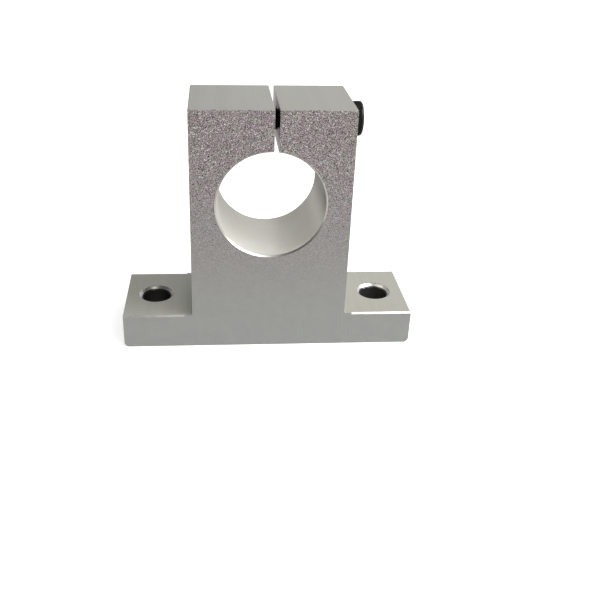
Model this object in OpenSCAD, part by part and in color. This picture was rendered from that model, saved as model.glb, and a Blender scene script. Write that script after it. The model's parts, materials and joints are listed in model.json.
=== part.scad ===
// Shaft support block: one aluminium block that clamps a round shaft above a
// machine bed, and the socket head screw that closes its slit.
// Frame: origin at the middle of the underside, +X along the base towards the
// screw head, +Y along the shaft, +Z up. Millimetres.

/* [Base] */
// Length of the base along X
base_w = 114; // [106:1:140]
// Thickness of the base
base_t = 14; // [8:0.5:24]
// Depth of the whole block along the shaft
block_depth = 36; // [24:1:60]
// Rounding of the extrusion's two bottom corners
foot_r = 2; // [0.5:0.25:4]
// Deburring chamfer along the base's upper front and back edges
deburr = 0.6; // [0.2:0.1:1.2]
// Distance from the upright at which the deburring stops
deburr_stop = 3; // [1:0.5:5]

/* [Upright] */
// Width of the upright along X
upright_w = 60; // [56:1:70]
// Fillet between the upright and the base
root_r = 0.8; // [0.3:0.1:3]
// Break on the extrusion's upper outer edges, upright and base
edge_break = 0.3; // [0.1:0.1:0.6]

/* [Shaft bore] */
// Shaft diameter that the bore clamps
bore_d = 40; // [24:1:48]
// Height of the shaft's centre line above the underside
shaft_h = 60; // [44:1:90]
// Chamfer at both mouths of the bore
bore_chamfer = 1; // [0.2:0.1:1.5]
// Metal left between the bore and the counterbore, and over the counterbore
bridge_wall = 1; // [0.8:0.1:6]

/* [Clamp slit] */
// Width of the saw cut from the bore to the top
slit_w = 1.8; // [1:0.1:4]
// Distance of the saw cut from the middle plane, towards the screw head
slit_offset = 1.5; // [-3:0.25:3]
// Deburring chamfer along the slit's upper edges
slit_deburr = 0.25; // [0.1:0.05:0.5]

/* [Mounting holes] */
// Distance between the two bolt holes
bolt_spacing = 90; // [86:1:92]
// Diameter of the bolt holes, clearance for M10
bolt_hole_d = 11; // [6:0.5:12]
// Chamfer at both mouths of the bolt holes
bolt_chamfer = 1.4; // [0.3:0.1:1.5]

/* [Screw hole] */
// Clearance hole through the half on the head's side
clear_d = 9; // [8.5:0.1:9.6]
// Chamfer where the clearance hole meets its counterbore
clear_chamfer = 0.5; // [0.3:0.1:0.8]
// Depth of the counterbore that the screw head sits in
counterbore_depth = 3.5; // [1:0.5:7]
// Radial gap between the screw head and its counterbore
head_gap = 0.5; // [0.2:0.1:0.6]
// Break at the counterbore's mouth
counterbore_break = 0.3; // [0.1:0.1:0.4]
// Radial running clearance of the screw in its tapped half
thread_gap = 0.05; // [0.02:0.01:0.08]
// Countersink at the tapped hole's far mouth
tap_chamfer = 0.8; // [0.3:0.1:1.5]

/* [Clamp screw] */
// Thread diameter
screw_d = 8; // [6:0.5:8]
// Distance from the screw's tip back to the block's far side
tip_setback = 6.5; // [1:0.5:20]
// Chamfer at the screw's tip
tip_chamfer = 1; // [0.5:0.1:1.5]
// Diameter of the head
head_d = 13; // [12:0.5:13]
// Height of the head
head_h = 8; // [6:0.5:10]
// Chamfer around the head's outer face
head_chamfer = 0.8; // [0.2:0.1:1]
// Fillet under the head
neck_r = 0.4; // [0.1:0.1:0.4]
// Hexagon socket, across flats
socket_af = 6; // [4:0.5:6.5]
// Depth of the socket's flats
socket_depth = 4.6; // [3:0.1:5]
// Countersink at the socket's mouth, over the hexagon's corners
socket_lead = 0.25; // [0.1:0.05:0.4]

/* [Hidden] */
$fn = 120;
alu = [0.70, 0.70, 0.68];
black_oxide = [0.07, 0.07, 0.08];
over = 1;                                  // how far a cut runs past a face
bore_r = bore_d / 2;
side_x = upright_w / 2;                    // the upright's side faces
end_x = base_w / 2;                        // the base's end faces
face_y = block_depth / 2;                  // the front and back faces
counterbore_d = head_d + 2 * head_gap;
bridge_h = counterbore_d + 2 * bridge_wall; // metal over the bore, holds the screw
block_h = shaft_h + bore_r + bridge_h;
screw_z = block_h - bridge_h / 2;
seat_x = side_x - counterbore_depth;       // floor of the counterbore
tip_x = -side_x + tip_setback;
tap_d = screw_d + 2 * thread_gap;
socket_corner_r = socket_af / 2 / cos(30);
drill_angle = 30;                          // slope of the socket's drilled floor

// ---- shared shapes ----

// What a corner of radius r loses; the corner is at the origin, its metal in +X +Y
module corner_waste(r) {
  difference() {
    translate([-over, -over]) square(r + over);
    translate([r, r]) circle(r);
  }
}

// What a 45 degree break of size c takes off a corner at the origin
module break_waste(c) {
  polygon([[-over, -over], [c + over, -over], [-over, c + over]]);
}

// Solid fillet of radius r in an inner corner at the origin, its metal in +X +Y
module root_fillet(r) {
  difference() {
    square(r);
    translate([r, r]) circle(r);
  }
}

// Round cut along +Z from z = 0 to length l, with a 45 degree chamfer at each mouth
module chamfered_hole(d, l, c) {
  translate([0, 0, -over]) cylinder(h = l + 2 * over, r = d / 2);
  countersink(d, c);
  translate([0, 0, l]) mirror([0, 0, 1]) countersink(d, c);
}

// 45 degree countersink that opens downwards through z = 0
module countersink(d, c) {
  translate([0, 0, -over]) cylinder(h = c + over, r1 = d / 2 + c + over, r2 = d / 2);
}

// ---- block ----

// The extruded section, an upside-down T, drawn with Y as height
module tee_section() {
  difference() {
    union() {
      translate([-end_x, 0]) square([base_w, base_t]);
      translate([-side_x, 0]) square([upright_w, block_h]);
      for (side = [-1, 1])
        mirrored(side) translate([side_x, base_t]) root_fillet(root_r);
    }
    for (side = [-1, 1]) mirrored(side) {
      translate([end_x, 0]) mirror([1, 0]) corner_waste(foot_r);
      translate([end_x, base_t]) rotate(180) break_waste(edge_break);
      translate([side_x, block_h]) rotate(180) break_waste(edge_break);
    }
  }
}

// Repeats its child on the right as drawn, or mirrored on the left
module mirrored(side) {
  mirror([side < 0 ? 1 : 0, 0, 0]) children();
}

// Saw cut from the bore to the top, with its deburred upper edges
module slit_cut() {
  translate([slit_offset - slit_w / 2, -face_y - over, shaft_h])
    cube([slit_w, block_depth + 2 * over, block_h - shaft_h + over]);
  rotate([90, 0, 0])
    linear_extrude(height = block_depth + 2 * over, center = true)
      translate([slit_offset, block_h])
        polygon([
          [-slit_w / 2, -slit_deburr],
          [slit_w / 2, -slit_deburr],
          [slit_w / 2 + slit_deburr + over, over],
          [-slit_w / 2 - slit_deburr - over, over]
        ]);
}

// Tapped half, clearance half and counterbore, along +X at the screw's height
module screw_path() {
  translate([-side_x, 0, screw_z]) rotate([0, 90, 0]) {
    translate([0, 0, -over]) cylinder(h = side_x + over + slit_offset, r = tap_d / 2);
    countersink(tap_d, tap_chamfer);
  }
  translate([slit_offset, 0, screw_z]) rotate([0, 90, 0])
    cylinder(h = side_x, r = clear_d / 2);
  translate([seat_x, 0, screw_z]) rotate([0, -90, 0]) {
    translate([0, 0, -counterbore_depth - over])
      cylinder(h = counterbore_depth + over, r = counterbore_d / 2);
    cylinder(h = clear_chamfer, r1 = clear_d / 2 + clear_chamfer, r2 = clear_d / 2);
  }
  translate([side_x, 0, screw_z]) rotate([0, -90, 0])
    countersink(counterbore_d, counterbore_break);
}

// Chamfer along one upper edge of the base, out to the base's end
module base_deburr() {
  run = end_x - side_x - deburr_stop;
  translate([end_x - run, -face_y, base_t]) rotate([90, 0, 90])
    linear_extrude(height = run + over) mirror([0, 1]) break_waste(deburr);
}

module block() {
  color(alu) difference() {
    rotate([90, 0, 0]) linear_extrude(height = block_depth, center = true) tee_section();
    translate([0, face_y, shaft_h]) rotate([90, 0, 0])
      chamfered_hole(bore_d, block_depth, bore_chamfer);
    slit_cut();
    screw_path();
    for (side = [-1, 1]) {
      translate([side * bolt_spacing / 2, 0, 0])
        chamfered_hole(bolt_hole_d, base_t, bolt_chamfer);
      for (flip = [0, 1])
        mirrored(side) mirror([0, flip, 0]) base_deburr();
    }
  }
}

// ---- clamp screw ----

// Half section of the screw: X is the radius, Y the way out of the head, seat at y = 0
module screw_section() {
  shank_l = seat_x - tip_x;
  polygon([
    [0, -shank_l],
    [screw_d / 2 - tip_chamfer, -shank_l],
    [screw_d / 2, -shank_l + tip_chamfer],
    [screw_d / 2, 0],
    [head_d / 2, 0],
    [head_d / 2, head_h - head_chamfer],
    [head_d / 2 - head_chamfer, head_h],
    [0, head_h]
  ]);
  translate([screw_d / 2, 0]) mirror([0, 1]) root_fillet(neck_r);
}

// Hexagon socket with its lead-in and drilled floor, opening at the origin towards +Z
module hex_socket() {
  lead_r = socket_corner_r + socket_lead;
  floor_r = socket_af / 2;
  translate([0, 0, -socket_depth]) {
    cylinder(h = socket_depth + over, r = socket_corner_r, $fn = 6);
    translate([0, 0, -floor_r * tan(drill_angle)])
      cylinder(h = floor_r * tan(drill_angle), r1 = 0, r2 = floor_r);
  }
  translate([0, 0, -lead_r * tan(drill_angle)])
    cylinder(h = (lead_r + over) * tan(drill_angle), r1 = 0, r2 = lead_r + over);
}

module clamp_screw() {
  color(black_oxide) translate([seat_x, 0, screw_z]) rotate([0, 90, 0])
    difference() {
      rotate_extrude() screw_section();
      translate([0, 0, head_h]) hex_socket();
    }
}

block();
clamp_screw();
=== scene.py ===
"""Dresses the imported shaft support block: extruded block, tapped thread and clamp screw.

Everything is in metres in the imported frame: origin under the middle of the base, +X along
the base towards the screw head, +Y along the shaft, +Z up.
"""
import json
import logging
import math
from collections.abc import Callable, Iterable, Sequence
from dataclasses import dataclass, field
from enum import Enum, IntEnum

import bmesh
import bpy
from mathutils import Matrix, Vector


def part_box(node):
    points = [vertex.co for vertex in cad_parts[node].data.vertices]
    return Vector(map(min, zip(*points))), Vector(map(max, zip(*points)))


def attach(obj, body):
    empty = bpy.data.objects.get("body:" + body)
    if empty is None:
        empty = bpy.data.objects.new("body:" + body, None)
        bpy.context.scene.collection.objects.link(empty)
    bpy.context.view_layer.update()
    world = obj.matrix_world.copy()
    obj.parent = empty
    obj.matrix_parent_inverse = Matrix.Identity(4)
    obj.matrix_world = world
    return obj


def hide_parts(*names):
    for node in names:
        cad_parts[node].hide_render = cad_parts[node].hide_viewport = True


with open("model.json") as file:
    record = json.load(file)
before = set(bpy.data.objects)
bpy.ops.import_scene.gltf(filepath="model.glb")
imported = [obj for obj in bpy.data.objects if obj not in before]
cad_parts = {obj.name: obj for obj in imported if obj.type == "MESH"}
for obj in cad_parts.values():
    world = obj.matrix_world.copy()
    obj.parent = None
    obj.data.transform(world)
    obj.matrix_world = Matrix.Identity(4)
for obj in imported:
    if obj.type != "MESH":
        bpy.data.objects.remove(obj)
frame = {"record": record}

log = logging.getLogger("shaft_support")

Colour = tuple[float, float, float]
Profile = Sequence[tuple[float, float]]

MM = 0.001
FULL_TURN = 2 * math.pi

# Tolerance for points that coincide, and how far a cutter reaches past the metal
WELD = 0.0005 * MM
OVERRUN = 1 * MM

# Direction along which a mesh's corners, edges and faces are sorted, square to none of its planes
SORTING = Vector((1.0, 0.7320508, 0.4142136))

# An edge is rounded above the first angle, and shaded as a crease above the second
SHARP_ANGLE = math.radians(28)
CREASE_ANGLE = math.radians(50)
FLAT_FACE_WEIGHT = 60

# How much of a face's normal runs along an axis: on a face square to it, on a chamfer, on
# the soft lead of the bore's mouth, and on the straight wall of a hole
SQUARE = 0.99
CHAMFER_RANGE = (0.5, 0.9)
LEAD_SLOPE = 0.3
WALL_SLOPE = 0.1


# ---------------------------------------------------------------------------
# Choices
# ---------------------------------------------------------------------------


class Side(Enum):
    """A side of the block along X."""

    LEFT = -1
    RIGHT = 1


class Zone(IntEnum):
    """How a stretch of the block's surface was made, some also darkened or paled as painted shade or
    highlight; the value is its material slot.
    """

    BLASTED = 0
    DRAWN = 1
    BORED = 2
    DRILLED = 3
    TAPPED = 4
    SAWN = 5
    CUT = 6
    SUNK = 7
    EDGE = 8


class ScrewZone(IntEnum):
    """How a stretch of the screw's surface was made; the value is its material slot."""

    BLACKENED = 0
    RUBBED = 1


class Pattern(Enum):
    """Direction in which a tool or die left its marks, as a stretch along X, Y and Z."""

    NONE = (1.0, 1.0, 1.0)
    ALONG_Y = (1.0, 0.02, 1.0)
    ROUND_X = (1.0, 0.03, 0.03)
    ROUND_Y = (0.03, 1.0, 0.03)
    ROUND_Z = (0.03, 0.03, 1.0)


# ---------------------------------------------------------------------------
# Shapes
# ---------------------------------------------------------------------------


def along_x(origin: Vector) -> Matrix:
    """Places a shape drawn along +Z so that it runs along +X from origin.

    Args:
        origin: Where the shape's own origin goes.

    Returns:
        The placing matrix.
    """
    return Matrix.Translation(origin) @ Matrix.Rotation(math.pi / 2, 4, "Y")


def along_y(origin: Vector) -> Matrix:
    """Places a shape drawn along +Z so that it runs along +Y from origin.

    Args:
        origin: Where the shape's own origin goes.

    Returns:
        The placing matrix.
    """
    return Matrix.Translation(origin) @ Matrix.Rotation(-math.pi / 2, 4, "X")


def close_up(bm: bmesh.types.BMesh) -> None:
    """Welds seams and poles, drops what collapsed and turns all faces outwards.

    Args:
        bm: The mesh to finish.
    """
    bmesh.ops.remove_doubles(bm, verts=bm.verts, dist=WELD)
    bmesh.ops.dissolve_degenerate(bm, edges=bm.edges, dist=WELD)
    bmesh.ops.recalc_face_normals(bm, faces=bm.faces)


def lathe(profile: Profile, steps: int, place: Matrix) -> bmesh.types.BMesh:
    """Turns a half section into a closed solid.

    Args:
        profile: Radius and height of each corner, from axis to axis.
        steps: Facets round the turn.
        place: Where the solid goes; it is turned about its own Z.

    Returns:
        The solid's mesh.
    """
    bm = bmesh.new()
    corners = [bm.verts.new((radius, 0, height)) for radius, height in profile]
    edges = [bm.edges.new(pair) for pair in zip(corners, corners[1:])]
    bmesh.ops.spin(
        bm,
        geom=corners + edges,
        cent=(0, 0, 0),
        axis=(0, 0, 1),
        angle=FULL_TURN,
        steps=steps,
        use_merge=True,
    )
    close_up(bm)
    bmesh.ops.transform(bm, matrix=place, verts=bm.verts)
    return bm


def prism(corners: Iterable[Vector], sweep: Vector) -> bmesh.types.BMesh:
    """Sweeps a flat outline straight into a closed solid.

    Args:
        corners: The outline's corners, in order.
        sweep: How far and which way the outline goes.

    Returns:
        The prism's mesh.
    """
    bm = bmesh.new()
    face = bm.faces.new([bm.verts.new(corner) for corner in corners])
    grown = bmesh.ops.extrude_face_region(bm, geom=[face])
    moved = [item for item in grown["geom"] if isinstance(item, bmesh.types.BMVert)]
    bmesh.ops.translate(bm, verts=moved, vec=sweep)
    bmesh.ops.recalc_face_normals(bm, faces=bm.faces)
    return bm


def new_object(name: str, bm: bmesh.types.BMesh) -> bpy.types.Object:
    """Moves a mesh into a new object of the scene.

    Args:
        name: The object's name.
        bm: Its mesh, which is freed.

    Returns:
        The object, at the origin.
    """
    mesh = bpy.data.meshes.new(name)
    bm.to_mesh(mesh)
    bm.free()
    thing = bpy.data.objects.new(name, mesh)
    bpy.context.scene.collection.objects.link(thing)
    return thing


def put_in_order(mesh: bpy.types.Mesh) -> None:
    """Sorts a mesh's corners, edges and faces by place, as a Boolean leaves them in any order.

    Args:
        mesh: The mesh.
    """
    bm = bmesh.new()
    bm.from_mesh(mesh)
    bm.verts.sort(key=lambda corner: corner.co.dot(SORTING))
    bm.edges.sort(key=lambda edge: (edge.verts[0].co + edge.verts[1].co).dot(SORTING))
    bm.faces.sort(key=lambda face: face.calc_center_median().dot(SORTING))
    bm.to_mesh(mesh)
    bm.free()


def carve(target: bpy.types.Object, cutters: Iterable[bmesh.types.BMesh]) -> None:
    """Cuts shapes out of an object's mesh, one after another.

    Args:
        target: The object that loses the shapes.
        cutters: The shapes.
    """
    tools = [new_object(f"cutter_{count}", cutter) for count, cutter in enumerate(cutters)]
    for tool in tools:
        modifier = target.modifiers.new("cut", "BOOLEAN")
        modifier.operation = "DIFFERENCE"
        modifier.solver = "EXACT"
        modifier.object = tool
    graph = bpy.context.evaluated_depsgraph_get()
    carved = bpy.data.meshes.new_from_object(target.evaluated_get(graph))
    carved.name = target.name
    put_in_order(carved)
    target.modifiers.clear()
    blank, target.data = target.data, carved
    bpy.data.meshes.remove(blank)
    for tool in tools:
        bpy.data.meshes.remove(tool.data)


def ease_edges(
    bm: bmesh.types.BMesh,
    width: float,
    segments: int,
    wanted: Callable[[Vector], bool] | None = None,
) -> list[bmesh.types.BMFace]:
    """Rounds the sharp edges of a mesh.

    Args:
        bm: The mesh.
        width: Width of the rounding on each side of an edge.
        segments: Facets across the rounding.
        wanted: Says from an edge's middle whether that edge is rounded; none means all.

    Returns:
        The new narrow faces.
    """
    sharp = [
        edge
        for edge in bm.edges
        if len(edge.link_faces) == 2
        and edge.calc_face_angle(0) > SHARP_ANGLE
        and (wanted is None or wanted((edge.verts[0].co + edge.verts[1].co) / 2))
    ]
    rounded = bmesh.ops.bevel(
        bm,
        geom=sharp,
        offset=width,
        offset_type="OFFSET",
        segments=segments,
        profile=0.5,
        affect="EDGES",
        clamp_overlap=True,
        loop_slide=True,
        material=-1,
    )
    return rounded["faces"]


def shade_smoothly(thing: bpy.types.Object) -> None:
    """Shades an object smoothly across its roundings and keeps its flats flat.

    Args:
        thing: The object.
    """
    thing.data.polygons.foreach_set("use_smooth", [True] * len(thing.data.polygons))
    thing.data.set_sharp_from_angle(angle=CREASE_ANGLE)
    weighted = thing.modifiers.new("flat_faces_stay_flat", "WEIGHTED_NORMAL")
    weighted.keep_sharp = True
    weighted.weight = FLAT_FACE_WEIGHT


# ---------------------------------------------------------------------------
# Shader node groups
# ---------------------------------------------------------------------------


# Scale of each finer or coarser noise, as a share of the group's own
COARSE_SCALE = 0.37
FLECK_SCALE = 0.80
PIT_SCALE = 0.55
BROAD_SCALE = 0.12
TINT_SCALE = 1.7

# Share of the coarse noise in the grain's height
COARSE_SHARE = 0.15

# Noise values between which each mask goes from none to full
FLECK_RANGE = (0.64, 0.69)
PIT_RANGE = (0.375, 0.33)
DRIFT_RANGE = (0.32, 0.68)
TINT_RANGE = (0.36, 0.64)

NOISE_MEAN = 0.5


@dataclass
class NodeTree:
    """Short ways to add and join nodes in one tree."""

    tree: bpy.types.NodeTree

    def add(self, kind: str, **settings: object) -> bpy.types.Node:
        """Adds a node.

        Args:
            kind: The node's type, without its ShaderNode prefix.
            settings: Properties set on it.

        Returns:
            The node.
        """
        node = self.tree.nodes.new(f"ShaderNode{kind}")
        for name, value in settings.items():
            setattr(node, name, value)
        return node

    def feed(self, socket: bpy.types.NodeSocket, source: object) -> None:
        """Joins a socket to another one, or sets its value.

        Args:
            socket: The input.
            source: An output socket, or a value.
        """
        if isinstance(source, bpy.types.NodeSocket):
            self.tree.links.new(source, socket)
        else:
            socket.default_value = source

    def math(self, operation: str, *values: object) -> bpy.types.NodeSocket:
        """Works out a number.

        Args:
            operation: The Math node's operation.
            values: Its inputs, sockets or numbers.

        Returns:
            The result.
        """
        node = self.add("Math", operation=operation)
        for socket, value in zip(node.inputs, values):
            self.feed(socket, value)
        return node.outputs[0]

    def remap(self, value: object, low: float, high: float) -> bpy.types.NodeSocket:
        """Spreads a value so that low becomes 0 and high becomes 1, with soft ends.

        Args:
            value: The value.
            low: What becomes 0.
            high: What becomes 1.

        Returns:
            The result.
        """
        node = self.add("MapRange", interpolation_type="SMOOTHSTEP")
        self.feed(node.inputs["Value"], value)
        node.inputs["From Min"].default_value = low
        node.inputs["From Max"].default_value = high
        return node.outputs["Result"]

    def blend(self, share: object, first: object, second: object) -> bpy.types.NodeSocket:
        """Mixes two colours.

        Args:
            share: How much of the second one.
            first: The colour at 0, a socket or three numbers.
            second: The colour at 1, a socket or three numbers.

        Returns:
            The mixed colour.
        """
        node = self.add("Mix", data_type="RGBA")
        self.feed(node.inputs[0], share)
        for socket, colour in ((node.inputs[6], first), (node.inputs[7], second)):
            self.feed(socket, colour if isinstance(colour, bpy.types.NodeSocket) else (*colour, 1))
        return node.outputs[2]

    def noise(self, place: object, scale: object, detail: float) -> bpy.types.NodeSocket:
        """Adds cloudy noise.

        Args:
            place: The coordinates.
            scale: Clouds to the metre.
            detail: Octaves of finer noise.

        Returns:
            The noise, about 0 to 1.
        """
        node = self.add("TexNoise")
        self.feed(node.inputs["Vector"], place)
        self.feed(node.inputs["Scale"], scale)
        node.inputs["Detail"].default_value = detail
        return node.outputs["Fac"]


@dataclass
class EffectGroup:
    """A shader node group that several finishes share."""

    name: str
    inputs: dict[str, float]
    outputs: Sequence[str]
    wire: Callable[[NodeTree, bpy.types.Node], dict[str, bpy.types.NodeSocket]]
    group: bpy.types.NodeTree | None = field(default=None, init=False)

    def build(self) -> bpy.types.NodeTree:
        """Builds the group the first time it is asked for.

        Returns:
            The group.
        """
        if self.group is None:
            group = bpy.data.node_groups.new(self.name, "ShaderNodeTree")
            for name, value in self.inputs.items():
                socket = group.interface.new_socket(
                    name=name, in_out="INPUT", socket_type="NodeSocketFloat"
                )
                socket.default_value = value
            for name in self.outputs:
                group.interface.new_socket(
                    name=name, in_out="OUTPUT", socket_type="NodeSocketFloat"
                )
            tree = NodeTree(group)
            source = group.nodes.new("NodeGroupInput")
            sink = group.nodes.new("NodeGroupOutput")
            for name, socket in self.wire(tree, source).items():
                group.links.new(socket, sink.inputs[name])
            self.group = group
        return self.group

    def place(self, tree: NodeTree, **values: float) -> bpy.types.Node:
        """Puts the group into a material.

        Args:
            tree: The material's nodes.
            values: Input values, by name with spaces as underscores.

        Returns:
            The group node.
        """
        node = tree.tree.nodes.new("ShaderNodeGroup")
        node.node_tree = self.build()
        for name, value in values.items():
            node.inputs[name.replace("_", " ")].default_value = value
        return node


def wire_grain(tree: NodeTree, source: bpy.types.Node) -> dict[str, bpy.types.NodeSocket]:
    """Wires blasted grain: a rough height, bright flecks and dark pits.

    Args:
        tree: The group's nodes.
        source: The group's input node.

    Returns:
        The socket of each output.
    """
    place = tree.add("TexCoord").outputs["Object"]
    per_metre = tree.math("DIVIDE", 1.0, source.outputs["Size"])
    height = tree.noise(place, per_metre, 3)
    coarse = tree.noise(place, tree.math("MULTIPLY", per_metre, COARSE_SCALE), 2)
    fleck = tree.noise(place, tree.math("MULTIPLY", per_metre, FLECK_SCALE), 1)
    pit = tree.noise(place, tree.math("MULTIPLY", per_metre, PIT_SCALE), 1)
    fine_part = tree.math("MULTIPLY", height, 1 - COARSE_SHARE)
    coarse_part = tree.math("MULTIPLY", coarse, COARSE_SHARE)
    return {
        "Height": tree.math("ADD", fine_part, coarse_part),
        "Fleck": tree.remap(fleck, *FLECK_RANGE),
        "Pit": tree.remap(pit, *PIT_RANGE),
    }


def wire_lines(tree: NodeTree, source: bpy.types.Node) -> dict[str, bpy.types.NodeSocket]:
    """Wires fine parallel marks whose direction the three stretch values set.

    Args:
        tree: The group's nodes.
        source: The group's input node.

    Returns:
        The socket of each output.
    """
    place = tree.add("TexCoord").outputs["Object"]
    stretch = tree.add("CombineXYZ")
    for axis in "XYZ":
        tree.feed(stretch.inputs[axis], source.outputs[f"Across {axis}"])
    stretched = tree.add("VectorMath", operation="MULTIPLY")
    tree.feed(stretched.inputs[0], place)
    tree.feed(stretched.inputs[1], stretch.outputs[0])
    per_metre = tree.math("DIVIDE", 1.0, source.outputs["Pitch"])
    fine = tree.noise(stretched.outputs[0], per_metre, 2)
    broad = tree.noise(stretched.outputs[0], tree.math("MULTIPLY", per_metre, BROAD_SCALE), 1)
    return {"Fine": fine, "Broad": broad}


def wire_handling(tree: NodeTree, source: bpy.types.Node) -> dict[str, bpy.types.NodeSocket]:
    """Wires the slow drift of tone and gloss that handling and anodising leave.

    Args:
        tree: The group's nodes.
        source: The group's input node.

    Returns:
        The socket of each output.
    """
    place = tree.add("TexCoord").outputs["Object"]
    per_metre = tree.math("DIVIDE", 1.0, source.outputs["Size"])
    drift = tree.noise(place, per_metre, 2)
    tint = tree.noise(place, tree.math("MULTIPLY", per_metre, TINT_SCALE), 1)
    return {
        "Drift": tree.remap(drift, *DRIFT_RANGE),
        "Tint": tree.remap(tint, *TINT_RANGE),
    }


GRAIN = EffectGroup("blasted_grain", {"Size": 0.6 * MM}, ("Height", "Fleck", "Pit"), wire_grain)
LINES = EffectGroup(
    "parallel_marks",
    {"Pitch": 0.4 * MM, "Across X": 1.0, "Across Y": 1.0, "Across Z": 1.0},
    ("Fine", "Broad"),
    wire_lines,
)
HANDLING = EffectGroup("handling", {"Size": 22 * MM}, ("Drift", "Tint"), wire_handling)


# ---------------------------------------------------------------------------
# Finishes
# ---------------------------------------------------------------------------


# Pale colour that bright flecks blend towards: bare metal in the blasted grain, partly painted glints
# along the eased edges
BARE_METAL_AND_GLINT = (0.82, 0.81, 0.79)

# Direction in which the bore's wall is painted darker, up and towards the screw head: painted shade
BORE_PAINTED_SHADE_DIRECTION = (0.707, 0.0, 0.707)

# Change of roughness from patch to patch
GLOSS_DRIFT = 0.04

# Power by which grain gathers towards the high end of a rise
GRAIN_GATHERING = 1.8

# Brightness that full contrast gives speckle and marks, and the least that is left
SPECKLE_GAIN = 4
MARKS_GAIN = 2
DARKEST = 0.05


@dataclass(frozen=True)
class Grain:
    """Fine speckle all over a surface."""

    size: float = 0.5 * MM
    contrast: float = 0.0
    depth: float = 0.0
    flecks: float = 0.0
    pits: float = 0.0


@dataclass(frozen=True)
class Marks:
    """Fine parallel marks of a die or a tool."""

    pattern: Pattern = Pattern.NONE
    pitch: float = 0.4 * MM
    contrast: float = 0.0
    depth: float = 0.0


@dataclass(frozen=True)
class Rise:
    """How a surface's two colours and its grain change upwards, or along another direction."""

    low: float
    high: float
    colour: Colour
    other: Colour
    along: tuple[float, float, float] = (0.0, 0.0, 1.0)


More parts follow.
